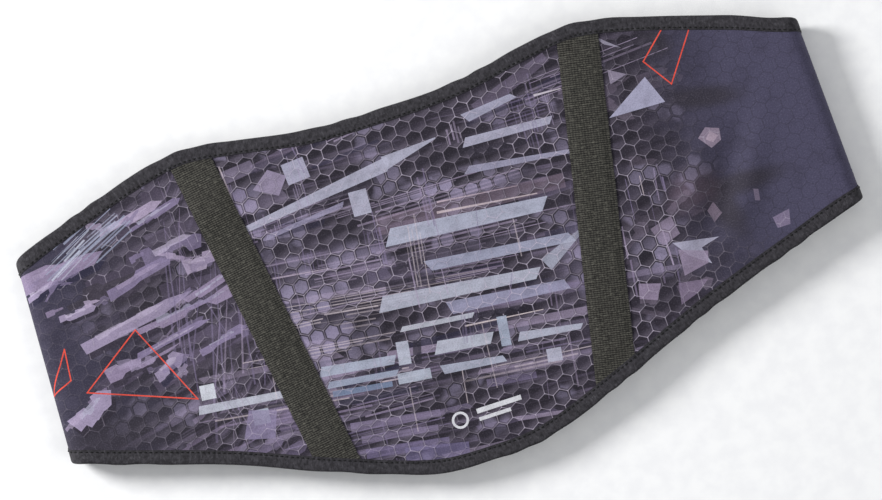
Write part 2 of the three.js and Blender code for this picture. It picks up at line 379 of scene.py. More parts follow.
def filling(polygon):
    """Points that fill a polygon, in lines along the folds where the fabric bends."""
    coarse, fine = SHEET_STEPS
    low, high = polygon.min(axis=0), polygon.max(axis=0)
    corners = np.array([(u, v) for u in (low[0], high[0]) for v in (low[1], high[1])])
    across = np.arange(-BEYOND_BELT, BEYOND_BELT, coarse)
    found = []
    for side in (LEFT, RIGHT):
        q = max(side.q(corners).min(), -FOLD_REACH)
        q_high = side.q(corners).max()
        shift = 0
        while q < q_high:
            found.append(side.line(q, across + shift))
            shift = coarse / 2 - shift
            in_tab = TAB_FINE[0] < q - TAB_HINGE_Q < TAB_FINE[1]
            bending = in_tab or ARC_START - 2 < q < ARC_END + 2
            q += fine if bending else coarse
    for index, v in enumerate(np.arange(low[1], high[1], coarse * 0.9)):
        u = np.arange(low[0], high[0], coarse) + coarse / 2 * (index % 2)
        row = np.column_stack([u, np.full(len(u), v)])
        found.append(row[np.maximum(LEFT.q(row), RIGHT.q(row)) < -FOLD_REACH - 1])
    points = np.vstack(found)
    points = points[inside(polygon, points)]
    return points[clear_of(polygon, points, 0.55 * fine)]


# ---- meshes -------------------------------------------------------------------------------------

def by_corner(values, faces):
    return [values[i] for face in faces for i in face]


def make_object(name, vertices, faces, pattern, sharp=None):
    """A smooth mesh. pattern holds a pattern point for each corner of each face, and edges
    sharper than sharp degrees stay sharp."""
    mesh = bpy.data.meshes.new(name)
    mesh.from_pydata([tuple(v) for v in vertices], [], [tuple(int(i) for i in f) for f in faces])
    mesh.polygons.foreach_set("use_smooth", [True] * len(mesh.polygons))
    layer = mesh.uv_layers.new(name="pattern")
    layer.data.foreach_set("uv", np.asarray(pattern, np.float32).ravel())
    mesh.validate()
    mesh.update()
    if sharp:
        mesh.set_sharp_from_angle(angle=math.radians(sharp))
    piece = bpy.data.objects.new(name, mesh)
    bpy.context.scene.collection.objects.link(piece)
    return piece


def slab(name, uv, top, low, high, pattern=None, sharp=50):
    """A closed thin piece: the faces of top at height high, the same ones at low, and a rim."""
    count = len(uv)
    border = {}
    for face in top:
        for a, b in zip(face, face[1:] + face[:1]):
            if (b, a) in border:
                del border[(b, a)]
            else:
                border[(a, b)] = [b, a, a + count, b + count]
    faces = top + [[i + count for i in reversed(face)] for face in top] + list(border.values())
    both = np.vstack([uv, uv])
    heights = np.concatenate([np.broadcast_to(high, count), np.broadcast_to(low, count)])
    pattern = uv if pattern is None else pattern
    loops = by_corner(np.vstack([pattern, pattern]), faces)
    return make_object(name, place(both, heights), faces, loops, sharp)


def grid_faces(rows, columns):
    """Square faces between the points of a grid, which has columns points in a row."""
    return [
        [a, a + 1, a + columns + 1, a + columns]
        for a in (i * columns + j for i in range(rows) for j in range(columns - 1))
    ]


def signed_area(polygon):
    x, y = np.asarray(polygon, float).T
    return float(np.dot(x, np.roll(y, -1)) - np.dot(y, np.roll(x, -1))) / 2


def counterclockwise(polygon):
    polygon = np.asarray(polygon, float)
    return polygon if signed_area(polygon) > 0 else polygon[::-1]


def densify(polygon, step=10.0, bent_step=1.3):
    """Splits a polygon's sides, finely where the fabric bends, so that they bend with it."""
    points = []
    for a, b in zip(polygon, np.roll(polygon, -1, axis=0)):
        length = float(np.hypot(*(b - a)))
        count = max(1, math.ceil(length / step))
        for k in range(count):
            start, stop = a + (b - a) * k / count, a + (b - a) * (k + 1) / count
            points.append(start)
            if any(bends_at(u) for u in (start[0], (start[0] + stop[0]) / 2, stop[0])):
                steps = math.ceil(length / count / bent_step)
                points.extend(start + (stop - start) * t / steps for t in range(1, steps))
    return np.array(points)


def composite(layers):
    """Colour and cover of prints laid over each other, first one lowest."""
    colour, cover = np.zeros(3), 0.0
    for tone, alpha in layers:
        total = alpha + cover * (1 - alpha)
        colour = (np.array(tone) * alpha + colour * cover * (1 - alpha)) / max(total, 1e-6)
        cover = total
    return (*colour, cover)


def sheet_piece(name, boundary, w_range, shapes):
    """A closed thin sheet of fabric, with printed shapes cut into the mesh of its upper face.
    A shape is a list of pattern points, a colour code and how much it covers."""
    boundary = counterclockwise(boundary)
    box_low, box_high = boundary.min(axis=0), boundary.max(axis=0)
    points = [*boundary, *filling(boundary)]
    rings = [list(range(len(boundary)))]
    printed = []
    for shape_points, tone, alpha in shapes:
        shape = densify(counterclockwise(shape_points))
        if (shape.max(axis=0) >= box_low).all() and (shape.min(axis=0) <= box_high).all():
            rings.append(list(range(len(points), len(points) + len(shape))))
            points.extend(shape)
            printed.append((rgb(tone), alpha))
    flat, _, triangles, _, _, origins = delaunay_2d_cdt(
        [Vector(p) for p in points], [], rings, 0, 1e-4)
    kept = [(tri, origin) for tri, origin in zip(triangles, origins) if 0 in origin]
    used = sorted({i for tri, _ in kept for i in tri})
    renumber = {old: new for new, old in enumerate(used)}
    uv = np.array([flat[i][:] for i in used])
    piece = slab(name, uv, [[renumber[i] for i in tri] for tri, _ in kept], *w_range)
    tones = np.zeros((len(piece.data.polygons), 4), np.float32)
    for index, (_, origin) in enumerate(kept):
        tones[index] = composite(printed[k - 1] for k in sorted(origin) if k > 0)
    attribute = piece.data.attributes.new("print", "FLOAT_COLOR", "FACE")
    attribute.data.foreach_set("color", tones.ravel())
    return piece


def declare(boundary):
    """Works out the area of a sheet's flat cut, which nothing uses."""
    area = abs(signed_area(boundary)) * MM * MM


# ---- binding and stitches -----------------------------------------------------------------------

# Inset from the belt's edge and height of the tape's outer face, from its inner edge outwards. It
# dips where the stitches hold it and is fullest between them and the edge.
TAPE_OUTSIDE = [
    (9.0, 1.44), (9.0, 1.58), (8.8, 1.7), (8.4, 1.73), (8.0, 1.71), (7.5, 1.7), (7.0, 1.75),
    (6.4, 1.87), (5.7, 1.98), (4.6, 2.04), (3.4, 2.05), (2.4, 2.03), (1.6, 1.95), (0.95, 1.76),
    (0.45, 1.42), (0.13, 0.95), (0.0, 0.4),
]
TAPE_INSIDE = [(0.5, 0.5), (0.52, 1.1), (0.68, 1.42), (2.5, 1.43), (5.0, 1.43), (9.0, 1.41)]
STITCH_INSET = 7.6
STITCH_PITCH = 3.15
STITCH_LENGTH = 2.1
STITCH_RADIUS = 0.52
STITCH_HEIGHT = 1.68
STITCH_SIDES = 6
# Share of a stitch's length, share of its thickness and lift: it dives in at both ends.
STITCH_PROFILE = [
    (0.0, 0.5, -0.22), (0.18, 0.95, -0.03), (0.5, 1.0, 0.04), (0.82, 0.95, -0.03), (1.0, 0.5, -0.22),
]
WEBBING_END_RISE, RISE_START, RISE_RUN = 0.8, 11.8, 3.5
FOLD_LEAN_NEAR, FOLD_LEAN_FADE = 14.0, 16.0  # how far from a fold the tape wraps along its lines
PUCKER_DEPTH, PUCKER_PITCH = 0.34, 7.4
PUCKER_ABOVE, RISE_ABOVE = 1.5, 0.6  # heights above which the tape puckers, and rises over webbing
EDGE_WAVE, EDGE_WAVE_PITCH = 0.55, 31.0


def over_webbing(uv):
    """1 where a webbing passes under the binding, falling to 0 beside it."""
    found = np.zeros(len(uv))
    for name in WEBBINGS:
        beside = np.abs(webbing_cut(name).side_of(uv))
        found = np.maximum(found, 1 - smoothstep((beside - RISE_START) / RISE_RUN))
    return found


def inward(direction, point):
    """The way the binding wraps inwards at a point of the edge: square to the edge, and along the
    fold lines near the folds, so that the tape bends with the fabric."""
    normal = edge_inward(direction, point[0])
    for side in (LEFT, RIGHT):
        from_fold = abs(side.q(point) - ARC_MIDDLE)
        near = 1 - smoothstep((from_fold - FOLD_LEAN_NEAR) / FOLD_LEAN_FADE)
        if near > 0:
            along = -direction * side.along
            return normal + (along / (along @ normal) - normal) * near
    return normal


def edge_path(direction, start, stop):
    """Points of one edge between two cuts or ends, with the way inwards at each."""
    bases = edge_run(direction, start, stop, 0.0, TAPE_STEPS)
    return [(base, inward(direction, base)) for base in bases]


def length_along(points):
    """Distance run along a line at each of its points."""
    return np.concatenate([[0], np.cumsum(np.hypot(*np.diff(points, axis=0).T))])


def uneven(run, pitch, slow_pitch):
    """A wave between 0 and 1 along a run, whose pitch wanders."""
    wander = 1.9 * np.sin(2 * math.pi * run / slow_pitch)
    return 0.5 + 0.5 * np.sin(2 * math.pi * run / pitch + wander)


def tape_section():
    """Insets and heights round the tape's section, from its inner edge on the printed face."""
    outside, inside_face = np.array(TAPE_OUTSIDE), np.array(TAPE_INSIDE)
    turned = [1, -1]
    return np.vstack([outside, outside[::-1] * turned, inside_face[::-1] * turned, inside_face])


def tape_piece(name, path):
    """The binding along a path: a tape wrapped round the edge, with thickness. It puckers between
    its stitches and the edge, and its edge waves a little."""
    section = tape_section()
    insets, heights = section.T
    around = length_along(section)
    bases, ways = np.array(path).transpose(1, 0, 2)
    middle = bases + BINDING_WIDTH / 2 * ways
    run = length_along(middle)
    phase = middle.sum(axis=1)  # the same at the joint of two pieces, so their waves meet there
    wave = EDGE_WAVE * uneven(phase, EDGE_WAVE_PITCH, 2.7 * EDGE_WAVE_PITCH)
    depth = insets + np.outer(wave, 1 - insets / BINDING_WIDTH)
    uv = (bases[:, None, :] + depth[:, :, None] * ways[:, None, :]).reshape(-1, 2)
    fullness = np.sin(math.pi * np.minimum(insets, STITCH_INSET) / STITCH_INSET)
    dip = np.outer(uneven(phase, PUCKER_PITCH, 4.3 * PUCKER_PITCH), fullness).ravel()
    w = np.tile(heights, len(path))
    w = w - PUCKER_DEPTH * np.where(np.abs(w) > PUCKER_ABOVE, np.sign(w), 0) * dip
    w = w + np.where(w > RISE_ABOVE, WEBBING_END_RISE * over_webbing(uv), 0)
    size = len(section)
    faces, loops = [], []
    for i in range(len(path) - 1):
        for j in range(size):
            k = (j + 1) % size
            turned = around[-1] + 0.5 if k == 0 else around[k]
            faces.append([i * size + j, (i + 1) * size + j, (i + 1) * size + k, i * size + k])
            loops.extend([
                (run[i], around[j]), (run[i + 1], around[j]), (run[i + 1], turned), (run[i], turned),
            ])
    for ring, order in ((0, 1), (len(path) - 1, -1)):
        faces.append([ring * size + j for j in range(size)][::order])
        loops.extend([(run[ring], turn) for turn in around][::order])
    return make_object(name, place(uv, w), faces, loops, sharp=60)


def stitch_row(path):
    """Ends and middles of a binding's stitches, in the pattern."""
    line = np.array([base + STITCH_INSET * way for base, way in path])
    run = length_along(line)
    found = []
    for k in range(int(run[-1] / STITCH_PITCH)):
        at = (k + 0.5) * STITCH_PITCH + STITCH_LENGTH * np.array([-0.5, 0, 0.5])
        found.append(np.column_stack([np.interp(at, run, line[:, 0]), np.interp(at, run, line[:, 1])]))
    return found


def stitches_piece(name, row, signs=(1, -1), height=STITCH_HEIGHT):
    """Every stitch of a row as a short thread, on the printed face (1), the lining (-1) or both."""
    sides, rings = STITCH_SIDES, len(STITCH_PROFILE)
    uv, w, faces = [], [], []
    for sign in signs:
        for ends in row:
            first = len(uv)
            way = ends[2] - ends[0]
            across = np.array([-way[1], way[0]]) / np.hypot(*way)
            for share, thick, lift in STITCH_PROFILE:
                for k in range(sides):
                    angle = 2 * math.pi * k / sides
                    radius = STITCH_RADIUS * thick
                    uv.append(ends[0] + way * share + across * (radius * math.cos(angle)))
                    w.append(sign * (height + lift + radius * math.sin(angle)))
            for i in range(rings - 1):
                a = first + i * sides
                for k in range(sides):
                    n = (k + 1) % sides
                    faces.append([a + k, a + sides + k, a + sides + n, a + n])
            faces.append([first + k for k in range(sides)])
            faces.append([len(uv) - 1 - k for k in range(sides)])
    uv, w = np.array(uv), np.array(w)
    w = w + np.where(w > 0, WEBBING_END_RISE * over_webbing(uv), 0)
    return make_object(name, place(uv, w), faces, by_corner(uv, faces))


# ---- webbing, stays and closure tapes -----------------------------------------------------------

STAY_BASE, STAY_THICKNESS = 1.52, 0.5
STAY_INSET = 16.0
WEBBING_INSET = 4.0
WEBBING_BASE, WEBBING_THICKNESS = 1.41, 0.9
OVER_STAY, STAY_EDGE, STAY_SLOPE = 0.72, 0.58, 0.36  # the webbing's rise over its stay
STAY_RISE_START, STAY_RISE_RUN = 10.0, 9.0  # from the webbing's end
SIDE_THINNING, END_THINNING, END_THINNING_REACH = 0.25, 0.18, 5.0
SELVEDGE_WAVE, SELVEDGE_PITCH = 0.22, 1.2
CLOSURE_BASE, CLOSURE_THICKNESS = 1.40, 0.62
CLOSURE_RADIUS = 4.0
CLOSURE_RIM, CLOSURE_RIM_SHARE = 1.5, 0.35  # width of the thinner rim, and its share of the thickness
CLOSURE_SEAM_INSET = 2.6


def webbing_base(share, inner):
    """Height of the webbing's under face: on the shell at its sides and over the stay between.
    share is the share of its half width, and inner the distance to its nearer end."""
    over_stay = 1 - smoothstep((abs(share) - STAY_EDGE) / STAY_SLOPE)
    return WEBBING_BASE + OVER_STAY * over_stay * smoothstep((inner - STAY_RISE_START) / STAY_RISE_RUN)


def webbing_top(share, inner):
    thickness = WEBBING_THICKNESS - SIDE_THINNING * abs(share)**6
    thinning = END_THINNING * (1 - smoothstep(inner / END_THINNING_REACH))
    return webbing_base(share, inner) + thickness - thinning


def stay_base(share, inner):
    return STAY_BASE


def stay_top(share, inner):
    return STAY_BASE + STAY_THICKNESS


def strip_piece(name, line, width, inset, base_of, top_of, step=0.6, columns=26, edge_wave=0.0):
    """A strip along a webbing's line, whose ends follow the belt's edges, moved inwards by inset.
    base_of and top_of give its faces' heights."""
    top, bottom = np.array(line, float)
    length = float(np.hypot(*(top - bottom)))
    along = (top - bottom) / length
    across = np.array([along[1], -along[0]])
    shares = np.sin(np.linspace(-1, 1, columns) * math.pi / 2)
    spans = []
    for share in shares:
        cut = Cut(bottom + across * width / 2 * share, along)
        ends = [edge_point(d, cut.crossing(d, inset), inset) for d in (BOTTOM, TOP)]
        spans.append([(end - bottom) @ along for end in ends])
    rows = int(length / step)
    uv, low, high, pattern = [], [], [], []
    for i in range(rows + 1):
        for share, (first, last) in zip(shares, spans):
            s = first + (last - first) * i / rows
            inner = min(s - first, last - s)
            side = width / 2 * share
            wave = edge_wave * math.sin(s * 2 * math.pi / SELVEDGE_PITCH) * abs(share)**8
            uv.append(bottom + along * s + across * (side + math.copysign(wave, share)))
            low.append(base_of(share, inner))
            high.append(top_of(share, inner))
            pattern.append((side, s))
    return slab(name, np.array(uv), grid_faces(rows, columns), low, high, pattern, sharp=55)


def closure_seam(middle, half):
    """Stitches in straight rows round a closure tape, each as its ends and middle."""
    corners = [middle + half * way for way in np.array([(-1, -1), (1, -1), (1, 1), (-1, 1)])]
    found = []
    for start, stop in zip(corners, corners[1:] + corners[:1]):
        count = int(np.abs(stop - start).max() / STITCH_PITCH)
        for k in range(count):
            found.append(np.array([start + (stop - start) * (k + t) / count for t in (0.15, 0.5, 0.85)]))
    return found


def closure_pieces(name, tape, sign, step=1.5):
    """A rounded rectangle of closure tape on the printed face (1) or the lining (-1), and its seam."""
    end_u, half = tape["end_u"], np.array([tape["length"], tape["height"]]) / 2
    middle = np.array([
        end_u - math.copysign(tape["from_end"] + half[0], end_u),
        (edge_height(TOP, end_u) + edge_height(BOTTOM, end_u)) / 2,
    ])
    columns, rows = int(tape["length"] / step), int(tape["height"] / step)
    uv, rim = [], []
    for y in range(rows + 1):
        for x in range(columns + 1):
            spot = (np.array([x / columns, y / rows]) * 2 - 1) * half
            over = np.maximum(np.abs(spot) - half + CLOSURE_RADIUS, 0)
            reach = over.max()
            if over.min() > 0:
                over = over / np.hypot(*over) * reach
            rounded = np.minimum(np.abs(spot), half - CLOSURE_RADIUS) + over
            uv.append(middle + np.copysign(rounded, spot))
            rim.append(smoothstep((CLOSURE_RADIUS - reach) / CLOSURE_RIM))
    share = CLOSURE_RIM_SHARE + (1 - CLOSURE_RIM_SHARE) * np.array(rim)
    outer = sign * (CLOSURE_BASE + CLOSURE_THICKNESS * share)
    low, high = (sign * CLOSURE_BASE, outer)[::sign]
    piece = slab(name, np.array(uv), grid_faces(rows, columns + 1), low, high)
    row = closure_seam(middle, half - CLOSURE_SEAM_INSET)
    seam = stitches_piece(name + "_stitches", row, (sign,), CLOSURE_BASE + CLOSURE_THICKNESS)
    return piece, seam


# ---- colours and shader graphs ------------------------------------------------------------------

def rgb(code):
    """Linear colour of an sRGB hex code."""
    parts = [int(code[i:i + 2], 16) / 255 for i in (1, 3, 5)]
    return tuple(c / 12.92 if c <= 0.04045 else ((c + 0.055) / 1.055)**2.4 for c in parts)


class Graph:
    """A material, its colour so far and short ways to add nodes to it. Values are numbers, tuples,
    colour codes or sockets. point, u and v are a place in the pattern."""

    def __init__(self, name, roughness, sheen=0.0, specular=0.3):
        self.material = bpy.data.materials.new(name)
        self.material.use_nodes = True
        self.tree = self.material.node_tree
        self.shader = self.tree.nodes["Principled BSDF"]
        self.shader.inputs["Roughness"].default_value = roughness
        self.shader.inputs["Specular IOR Level"].default_value = specular
        self.shader.inputs["Sheen Weight"].default_value = sheen
        self.shader.inputs["Sheen Roughness"].default_value = 0.5
        self.point = self.add("ShaderNodeUVMap", uv_map="pattern").outputs[0]
        self.u, self.v, _ = self.parts(self.point)

    def add(self, kind, inputs=(), **settings):
        node = self.tree.nodes.new(kind)
        for name, value in settings.items():
            setattr(node, name, value)
        for key, value in dict(inputs).items():
            socket = node.inputs[key]
            if isinstance(value, bpy.types.NodeSocket):
                self.tree.links.new(value, socket)
            else:
                socket.default_value = (*rgb(value), 1.0) if isinstance(value, str) else value
        return node

    def math(self, operation, *values):
        return self.add("ShaderNodeMath", enumerate(values), operation=operation).outputs[0]

    def times(self, first, *others):
        for value in others:
            first = self.math("MULTIPLY", first, value)
        return first

    def plus(self, a, b):
        return self.math("ADD", a, b)

    def minus(self, a, b):
        return self.math("SUBTRACT", a, b)

    def wave(self, value, pitch):
        return self.math("SINE", self.times(value, 2 * math.pi / pitch))

    def vector(self, operation, *values):
        node = self.add("ShaderNodeVectorMath", enumerate(values), operation=operation)
        return node.outputs["Value" if operation in ("LENGTH", "DOT_PRODUCT") else "Vector"]

    def parts(self, vector):
        return self.add("ShaderNodeSeparateXYZ", {0: vector}).outputs

    def ramp(self, value, low, high, to_low=0.0, to_high=1.0):
        """A smooth step of value from low to high."""
        inputs = {"Value": value, "From Min": low, "From Max": high, "To Min": to_low, "To Max": to_high}
        return self.add("ShaderNodeMapRange", inputs, interpolation_type="SMOOTHSTEP").outputs[0]

    def noise(self, scale, detail=2.0, roughness=0.5, at=None):
        at = self.point if at is None else at
        inputs = {"Vector": at, "Scale": scale, "Detail": detail, "Roughness": roughness}
        return self.add("ShaderNodeTexNoise", inputs).outputs["Fac"]

    def streaks(self, u_scale, v_scale, z=0.0, v=None, roughness=0.7):
        """Noise that runs further one way than the other."""
        v = self.v if v is None else v
        inputs = {0: self.times(self.u, u_scale), 1: self.times(v, v_scale), 2: z}
        at = self.add("ShaderNodeCombineXYZ", inputs).outputs[0]
        return self.noise(1.0, 3.0, roughness, at)

    def base(self, share, dark, light):
        """Sets the colour: dark where share is 0 and light where it is 1."""
        self.colour = self.add("ShaderNodeMix", {0: share, 6: dark, 7: light}, data_type="RGBA").outputs[2]

    def tint(self, colour, *shares):
        """Lays another colour over the colour so far, by the product of the shares."""
        self.base(self.times(*shares), self.colour, colour)

    def finish(self, height=None, strength=0.3, distance=0.0003):
        self.tree.links.new(self.colour, self.shader.inputs["Base Color"])
        if height is not None:
            inputs = {"Height": height, "Strength": strength, "Distance": distance}
            bump = self.add("ShaderNodeBump", inputs).outputs[0]
            self.tree.links.new(bump, self.shader.inputs["Normal"])
        return self.material


HEX_WIDTH = 9.2
HEX_PERIOD = (HEX_WIDTH, HEX_WIDTH * math.sqrt(3), 1.0)
SNAP_SHIFT, SNAP_STEP = (0.2,) * 3, (0.5,) * 3  # rounds the points of one cell to the same value
TAPE_FOLD, TAPE_RIM = 10.6, 0.2  # how far round the tape's section its fold and its inner edge are
RIB_PITCH, THREAD_PITCH = 1.3, 1.8

# Soft dark marks of the ground, partly painted shade where the back panel's soft folds dip, above all on
# the right: centre, half length, half width, direction in degrees.
SHADE_AND_DARK_MARKS = [
    ((186, 58), 28, 8, -12), ((190, 2), 34, 8, -1), ((168, 98), 14, 9, -50), ((178, -8), 10, 26, 18),
    ((-212, -27), 40, 15, -4), ((-152, -40), 38, 18, 0), ((-192, 52), 16, 9, 14),
    ((-132, 4), 22, 22, 0),
]
WARM_MARK = ((163, 6), 18, 14, 20)
# Groups of lilac cells, placed in the same way.
LILAC_CELLS = [
    ((-78, 2), 26, 44, 10), ((-92, 50), 15, 20, 25), ((-96, 84), 20, 16, 0), ((-44, 24), 22, 16, 0),
    ((30, 54), 40, 9, -6), ((92, -14), 16, 30, 0), ((138, -22), 22, 16, 0),
]


def hex_cells(graph, point):
    """Distance from the nearest cell border, the place within the cell, and the cell's own point."""
    half = tuple(x / 2 for x in HEX_PERIOD)
    minus = tuple(-x for x in half)
    a = graph.vector("WRAP", point, half, minus)
    b = graph.vector("WRAP", graph.vector("ADD", point, half), half, minus)
    nearer = graph.math("LESS_THAN", graph.vector("LENGTH", a), graph.vector("LENGTH", b))
    local = graph.add("ShaderNodeMix", {0: nearer, 4: b, 5: a}, data_type="VECTOR").outputs[1]
    x, y, _ = graph.parts(graph.vector("ABSOLUTE", local))
    slanted = graph.plus(graph.times(x, 0.5), graph.times(y, math.sqrt(3) / 2))
    border = graph.minus(HEX_WIDTH / 2, graph.math("MAXIMUM", x, slanted))
    middle = graph.vector("ADD", graph.vector("SUBTRACT", point, local), SNAP_SHIFT)
    return border, local, graph.vector("SNAP", middle, SNAP_STEP)


def soft_mark(graph, centre, half_length, half_width, degrees):
    """1 at the centre of a soft oval mark, falling to 0 at its edge."""
    inputs = {
        "Vector": graph.point, "Location": (*centre, 0), "Rotation": (0, 0, math.radians(degrees)),
        "Scale": (half_length, half_width, 1),
    }
    oval = graph.add("ShaderNodeMapping", inputs, vector_type="TEXTURE").outputs[0]
    return graph.ramp(graph.vector("LENGTH", oval), 0.35, 1.25, 1.0, 0.0)


def shell_ground(graph, busy):
    """Slate at both ends and dark plum in the middle, with clouds, streaks and soft dark marks, partly
    painted shade of the fabric's soft folds.
    """
    cloud = graph.noise(0.018, 3.0)
    fine_cloud = graph.noise(0.05, 4.0, 0.6, graph.vector("ADD", graph.point, (310.0, 70.0, 0.0)))
    graph.base(busy, "#393648", "#2b2631")
    graph.tint("#4a475e", graph.ramp(graph.u, 140.0, 235.0))
    graph.tint("#1c1821", graph.ramp(fine_cloud, 0.5, 0.66), graph.ramp(busy, 0.0, 1.0, 0.2, 0.55))
    graph.tint("#5c5468", graph.ramp(cloud, 0.5, 0.72), busy, 0.4)
    # Soft dark marks, partly painted shade of the back panel's soft folds.
    for mark in SHADE_AND_DARK_MARKS:
        graph.tint("#322e37", soft_mark(graph, *mark), 0.85)
    graph.tint("#6d5b6b", soft_mark(graph, *WARM_MARK), 0.45)
    lean = graph.times(graph.ramp(graph.u, -150.0, -100.0, 0.22, -0.09), graph.u)
    streaks = graph.streaks(0.011, 0.16, 3.0, graph.minus(graph.v, lean), 0.6)
    fewer = graph.ramp(graph.u, 95.0, 125.0, 0.5, 0.1)
    graph.tint("#81758f", graph.ramp(streaks, 0.52, 0.66), fewer, busy)


def shell_cells(graph, border, cell, busy):
    """Some cells dark, and some filled with lilac inside a dark ring."""
    noise = graph.add("ShaderNodeTexWhiteNoise", {"Vector": cell}).outputs
    graph.tint("#1e1a23", graph.ramp(noise["Value"], 0.35, 0.95, 0.0, 0.7), busy)
    patch = graph.noise(0.03, 2.0, at=graph.vector("ADD", graph.point, (90.0, 400.0, 0.0)))
    patch = graph.times(graph.ramp(patch, 0.55, 0.62), 0.5)
    for mark in LILAC_CELLS:
        patch = graph.math("MAXIMUM", patch, soft_mark(graph, *mark))
    chosen = graph.ramp(graph.parts(noise["Color"])[1], 0.2, 0.5)
    graph.tint("#958ca8", chosen, patch, graph.ramp(border, 0.7, 1.1), busy, 0.85)


def shell_relief(graph, local, cover, busy):
    """Makes every cell look raised: lighter at one side and darker at the other."""
    side = graph.vector("DOT_PRODUCT", local, (-0.35, 1.0, 0.0))
    strength = graph.ramp(graph.u, 95.0, 150.0, 1.0, 0.45)
    raised = graph.times(busy, strength, graph.ramp(cover, 0.3, 0.9, 1.0, 0.35))
    graph.tint("#a095aa", graph.ramp(side, 0.5, -4.5, 0.0, 0.2), raised)
    graph.tint("#16131a", graph.ramp(side, -0.5, 4.5, 0.0, 0.26), raised)


def shell_net(graph, border, local, cover, busy, drift):
    """The net: light lines in the middle, faint dark ones at the ends, none on the solid shapes."""
    under_print = graph.ramp(cover, 0.5, 0.85, 1.0, 0.1)
    graph.tint("#221e28", graph.ramp(border, 0.2, 1.3, 1.0, 0.0), busy, 0.34, under_print)
    line = graph.times(graph.ramp(border, 0.08, 0.4, 1.0, 0.0), graph.ramp(cover, 0.88, 0.93, 1.0, 0.0))
    patchy = graph.ramp(graph.noise(0.025, 3.0, 0.6), 0.35, 0.65, 0.25, 1.0)
    fade = graph.ramp(graph.plus(drift, graph.times(graph.v, 0.25)), 128.0, 200.0, 1.0, 0.0)
    bright = graph.times(graph.ramp(graph.u, -200.0, -115.0, 0.3, 1.0), fade)
    bright = graph.math("MAXIMUM", bright, graph.ramp(cover, 0.55, 0.7, 0.0, 0.8))
    corners = graph.ramp(graph.vector("LENGTH", local), 4.8, 5.2, 0.52, 0.95)
    graph.tint("#c3b8cb", line, bright, patchy, corners)
    faint = graph.minus(0.5, graph.times(bright, 0.5))
    graph.tint("#2e2b38", line, faint, graph.ramp(graph.u, 180.0, 250.0, 1.1, 0.7))


def shell_material():
    graph = Graph("printed_softshell", roughness=0.75, sheen=0.04, specular=0.18)
    warp = graph.add("ShaderNodeTexNoise", {"Vector": graph.point, "Scale": 0.03, "Detail": 1.0})
    shift = graph.vector("SUBTRACT", warp.outputs["Color"], (0.5, 0.5, 0.5))
    shift = graph.vector("MULTIPLY", shift, (2.0, 2.0, 0.0))
    border, local, cell = hex_cells(graph, graph.vector("ADD", graph.point, shift))
    drift = graph.plus(graph.u, graph.times(graph.minus(graph.noise(0.018, 3.0), 0.5), 80.0))
    left, right = graph.ramp(drift, -225.0, -150.0, 0.1, 1.0), graph.ramp(drift, 135.0, 205.0, 1.0, 0.0)
    busy = graph.times(left, right)
    shell_ground(graph, busy)
    shell_cells(graph, border, cell, busy)
    shapes = graph.add("ShaderNodeAttribute", attribute_name="print").outputs
    cover = shapes["Alpha"]
    graph.tint(shapes["Color"], graph.ramp(graph.noise(0.12, 4.0, 0.65), 0.3, 0.6, 0.8, 1.0), cover)
    shell_relief(graph, local, cover, busy)
    shell_net(graph, border, local, cover, busy, drift)
    grain = graph.noise(1.1, 3.0, 0.75)
    graph.tint("#1d1a24", graph.ramp(grain, 0.42, 0.72, 0.0, 0.3))
    graph.tint("#a9a2b4", graph.ramp(grain, 0.5, 0.25, 0.0, 0.12))
    knit = graph.times(graph.wave(graph.u, 0.8), graph.wave(graph.v, 0.7), 0.5)
    return graph.finish(graph.plus(knit, grain), 0.35, 0.00012)


def lining_material():
    graph = Graph("brushed_lining", roughness=0.95, sheen=0.3, specular=0.1)
    pile = graph.noise(0.9, 4.0, 0.7)
    graph.base(graph.ramp(pile, 0.3, 0.7), "#1f1e24", "#34323a")
    graph.tint("#403e47", graph.ramp(graph.noise(0.06, 3.0), 0.4, 0.65, 0.0, 0.35))
    return graph.finish(pile, 0.6, 0.0004)


def binding_material():
    """Mottled, with threads across the tape, and painted shade at its rounded fold and along its inner
    edge.
    """
    graph = Graph("binding_tape", roughness=0.88, sheen=0.08, specular=0.2)
    mottle = graph.noise(0.35, 4.0, 0.65)
    graph.base(graph.ramp(mottle, 0.35, 0.65), "#2c2a2e", "#403e43")
    streaks = graph.streaks(0.75, 0.3)
    graph.tint("#171619", graph.ramp(streaks, 0.48, 0.32, 0.0, 0.75))
    graph.tint("#615f65", graph.ramp(streaks, 0.53, 0.7, 0.0, 0.5))
    wales, courses = graph.wave(graph.v, 0.75), graph.wave(graph.u, 0.9)
    knit = graph.plus(graph.times(wales, 0.5), graph.times(courses, 0.3))
    graph.tint("#232226", graph.ramp(knit, -0.6, 0.6, 0.3, 0.0))
    # Painted shade where the tape rounds over the belt's edge.
    from_fold = graph.math("ABSOLUTE", graph.minus(graph.v, TAPE_FOLD))
    graph.tint("#1b1a1d", graph.ramp(from_fold, 0.8, 2.8, 0.85, 0.0))
    # Painted shade along the tape's inner edge, where it meets the print.
    from_rim = graph.math("ABSOLUTE", graph.minus(graph.v, TAPE_RIM))
    graph.tint("#1b1a1d", graph.ramp(from_rim, 0.3, 1.1, 0.4, 0.0))
    return graph.finish(graph.plus(knit, graph.times(mottle, 1.5)), 0.4, 0.00016)


